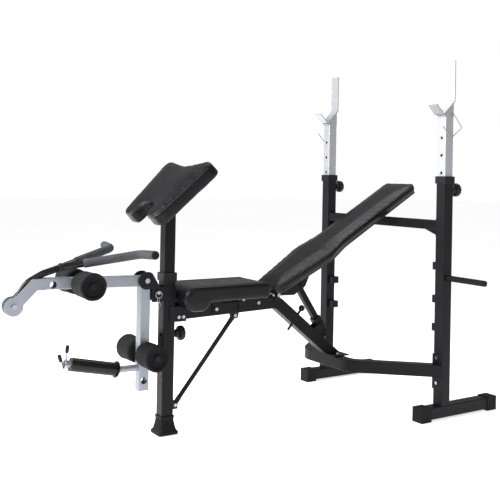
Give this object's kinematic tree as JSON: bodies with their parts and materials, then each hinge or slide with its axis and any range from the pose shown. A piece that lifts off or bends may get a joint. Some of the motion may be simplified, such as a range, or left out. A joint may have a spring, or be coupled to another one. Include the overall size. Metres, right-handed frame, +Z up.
{
  "type": "adjustable weight bench",
  "caption": "Weight bench with an inclining backrest, barbell rack, sloped arm-curl pad and a leg lever with foam rollers and a plate sleeve.",
  "frame": {"origin": "centre of the front foot on the floor", "axes": "+X from the front post to the rack, +Y to the left of a user who faces the front, +Z up"},
  "size_m": [2.048, 1.232, 1.508],
  "materials": {
    "black_steel": "black powder coat",
    "lever_silver": "silver powder coat",
    "bright_steel": "zinc and chrome plate",
    "black_rubber": "matt moulded rubber",
    "black_plastic": "moulded plastic",
    "black_vinyl": "grained vinyl over foam",
    "plywood": "plywood",
    "black_foam": "closed-cell foam",
    "grey_foam": "closed-cell foam"
  },
  "bodies": {
    "frame": {"front_post": "black_steel", "front_foot": "black_rubber", "post_collar": "black_plastic", "main_tube": "black_steel", "brace_strut": "black_steel", "lower_crossbar": "black_steel", "upper_crossbar": "black_steel", "upright_left": "black_steel", "upright_right": "black_steel", "upright_collar_left": "black_plastic", "upright_collar_right": "black_plastic", "base_rail_left": "black_steel", "base_rail_right": "black_steel", "rail_caps_left": "black_rubber", "rail_caps_right": "black_rubber", "plate_peg_left": "black_steel", "plate_peg_right": "black_steel", "lever_bracket_left": "black_steel", "lever_bracket_right": "black_steel", "seat_pad": "black_vinyl", "seat_board": "plywood", "seat_brackets": "black_steel", "lever_pivot_bolt": "bright_steel", "backrest_hinge_pin": "bright_steel", "frame_bolts": "bright_steel"},
    "backrest": {"backrest_pad": "black_vinyl", "backrest_board": "plywood", "backrest_bracket": "black_steel"},
    "sleeve": {"strut_sleeve": "black_steel"},
    "rod": {"strut_rod": "black_steel"},
    "lock_pin": {"frame_lock_pin": "black_plastic"},
    "hitch": {"hitch_pin": "bright_steel"},
    "post_knob_body": {"post_knob": "black_plastic"},
    "knob_left": {"rack_knob_left": "black_plastic"},
    "knob_right": {"rack_knob_right": "black_plastic"},
    "lever": {"leg_lever": "lever_silver", "lever_fork": "lever_silver", "curl_pivot_bolt": "bright_steel", "roller_bar_upper": "black_steel", "roller_bar_lower": "black_steel", "loader_bar": "black_steel"},
    "roller_upper_left": {"foam_roller_upper_left": "black_foam"},
    "roller_upper_right": {"foam_roller_upper_right": "black_foam"},
    "roller_lower_left": {"foam_roller_lower_left": "black_foam"},
    "roller_lower_right": {"foam_roller_lower_right": "black_foam"},
    "plate_sleeve": {"weight_sleeve": "black_plastic"},
    "collar_clip": {"spring_collar": "bright_steel"},
    "curl": {"curl_bar": "black_steel", "curl_grip_left": "grey_foam", "curl_grip_right": "grey_foam", "curl_end_plugs": "black_rubber"},
    "preacher": {"preacher_post": "black_steel", "preacher_pad": "black_vinyl", "preacher_board": "plywood"},
    "rack_left": {"rack_slider_left": "lever_silver", "rack_hook_left": "lever_silver"},
    "rack_right": {"rack_slider_right": "lever_silver", "rack_hook_right": "lever_silver"},
    "wire_left": {"safety_wire_left": "bright_steel"},
    "wire_right": {"safety_wire_right": "bright_steel"}
  },
  "joints": [
    {"name": "backrest_tilt", "type": "hinge", "parent": "frame", "child": "backrest", "pos_m": [0.505, 0, 0.507], "axis": [0, -1, 0], "range_deg": [-1, 30]},
    {"name": "strut_sleeve_turn", "type": "hinge", "parent": "frame", "child": "sleeve", "pos_m": [0.7468, 0, 0.3606], "axis": [0, -1, 0], "range_deg": [-6, 6]},
    {"name": "strut_rod_slide", "type": "slide", "parent": "sleeve", "child": "rod", "axis": [-0.5607, 0, 0.828], "range_m": [-0.01, 0.08]},
    {"name": "lock_pin_pull", "type": "slide", "parent": "frame", "child": "lock_pin", "axis": [0.6282, 0, 0.7781], "range_m": [0, 0.007]},
    {"name": "hitch_pin_pull", "type": "slide", "parent": "frame", "child": "hitch", "axis": [0, -1, 0], "range_m": [0, 0.07]},
    {"name": "post_knob_turn", "type": "hinge", "parent": "frame", "child": "post_knob_body", "pos_m": [0.05, 0, 0.382], "axis": [1, 0, 0], "continuous": true},
    {"name": "rack_knob_left_turn", "type": "hinge", "parent": "frame", "child": "knob_left", "pos_m": [1.15, 0.39, 0.96], "axis": [1, 0, 0], "continuous": true},
    {"name": "rack_knob_right_turn", "type": "hinge", "parent": "frame", "child": "knob_right", "pos_m": [1.15, -0.39, 0.96], "axis": [1, 0, 0], "continuous": true},
    {"name": "leg_lever_swing", "type": "hinge", "parent": "frame", "child": "lever", "pos_m": [-0.1, 0, 0.598], "axis": [0, 1, 0], "range_deg": [0, 50]},
    {"name": "roller_upper_left_spin", "type": "hinge", "parent": "lever", "child": "roller_upper_left", "pos_m": [-0.356, 0.082, 0.601], "axis": [0, 1, 0], "continuous": true},
    {"name": "roller_upper_right_spin", "type": "hinge", "parent": "lever", "child": "roller_upper_right", "pos_m": [-0.356, -0.082, 0.601], "axis": [0, 1, 0], "continuous": true},
    {"name": "roller_lower_left_spin", "type": "hinge", "parent": "lever", "child": "roller_lower_left", "pos_m": [-0.1, 0.082, 0.321], "axis": [0, 1, 0], "continuous": true},
    {"name": "roller_lower_right_spin", "type": "hinge", "parent": "lever", "child": "roller_lower_right", "pos_m": [-0.1, -0.082, 0.321], "axis": [0, 1, 0], "continuous": true},
    {"name": "weight_sleeve_spin", "type": "hinge", "parent": "lever", "child": "plate_sleeve", "pos_m": [-0.3, 0, 0.28847], "axis": [-0.9781, 0, 0.2079], "continuous": true},
    {"name": "spring_collar_slide", "type": "slide", "parent": "lever", "child": "collar_clip", "axis": [-0.9781, 0, 0.2079], "range_m": [0, 0.05]},
    {"name": "curl_bar_swing", "type": "hinge", "parent": "lever", "child": "curl", "pos_m": [-0.602, 0, 0.532], "axis": [0, -1, 0], "range_deg": [0, 80]},
    {"name": "preacher_height", "type": "slide", "parent": "frame", "child": "preacher", "axis": [0, 0, 1], "range_m": [-0.04, 0.12]},
    {"name": "rack_left_height", "type": "slide", "parent": "frame", "child": "rack_left", "axis": [0, 0, 1], "range_m": [-0.222, 0.074]},
    {"name": "rack_right_height", "type": "slide", "parent": "frame", "child": "rack_right", "axis": [0, 0, 1], "range_m": [-0.222, 0.074]},
    {"name": "safety_wire_left_swing", "type": "hinge", "parent": "rack_left", "child": "wire_left", "pos_m": [1.111, 0.42, 1.282], "axis": [0, 1, 0], "range_deg": [0, 100]},
    {"name": "safety_wire_right_swing", "type": "hinge", "parent": "rack_right", "child": "wire_right", "pos_m": [1.111, -0.42, 1.282], "axis": [0, 1, 0], "range_deg": [0, 100]}
  ],
  "couplings": [
    {"joint": "strut_sleeve_turn", "follows": "backrest_tilt", "ratio": 0.0121},
    {"joint": "strut_rod_slide", "follows": "backrest_tilt", "m_per_rad": 0.11679}
  ]
}
